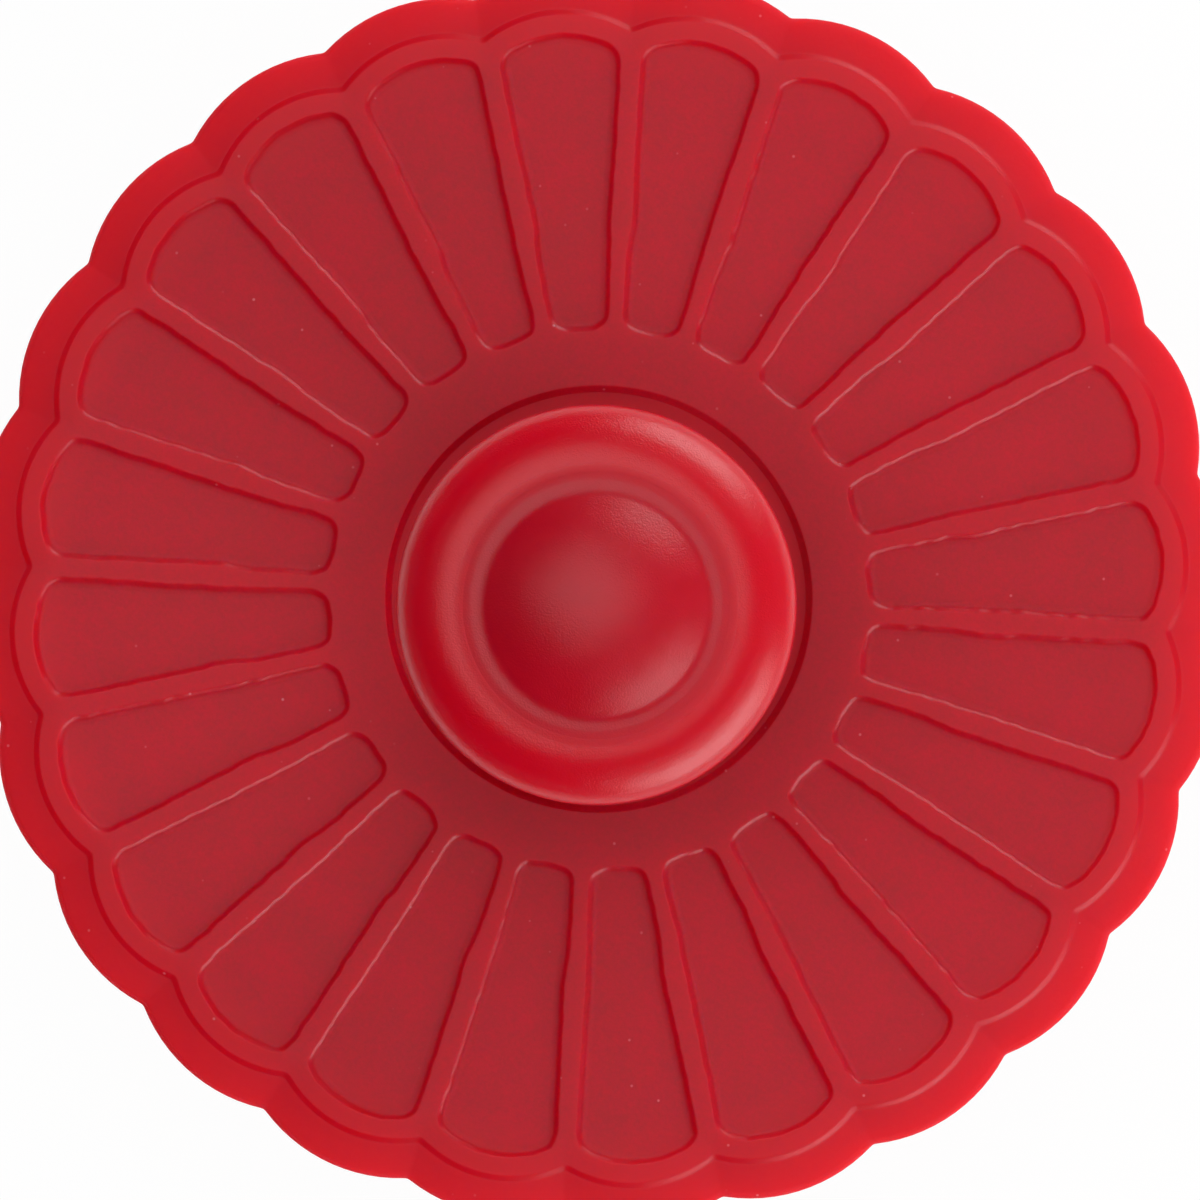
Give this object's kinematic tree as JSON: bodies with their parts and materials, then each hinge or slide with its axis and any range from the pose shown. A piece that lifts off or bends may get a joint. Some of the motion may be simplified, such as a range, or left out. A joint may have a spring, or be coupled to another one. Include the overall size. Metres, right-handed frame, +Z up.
{
  "type": "plunger cutter",
  "caption": "Flower-shaped plunger cutter with a scalloped cutting skirt, a petal-relief flange and a sprung thumb knob that drives an embossing and ejecting plate.",
  "frame": {"origin": "on the plunger's axis, in the plane of the cutting edge that the cutter stands on", "axes": "+Z up along the plunger's axis towards the knob, +X through the middle of one petal"},
  "size_m": [0.06, 0.06, 0.0396],
  "materials": {
    "body_plastic": "red moulding, fine matt texture",
    "knob_plastic": "red moulding, satin",
    "spring_steel": "bright drawn wire",
    "screw_steel": "bright zinc plated"
  },
  "bodies": {
    "cutter": {"cutter_body": "body_plastic", "return_spring": "spring_steel"},
    "plunger": {"embossing_plate": "body_plastic", "plunger_stem": "body_plastic", "thumb_knob": "knob_plastic", "knob_cap": "knob_plastic", "knob_screw": "screw_steel"}
  },
  "joints": [
    {"name": "plunger_slide", "type": "slide", "parent": "cutter", "child": "plunger", "axis": [0, 0, -1], "range_m": [0, 0.009], "stiffness_N_per_m": 720, "springref_m": -0.0074, "deforming": ["return_spring"]}
  ]
}
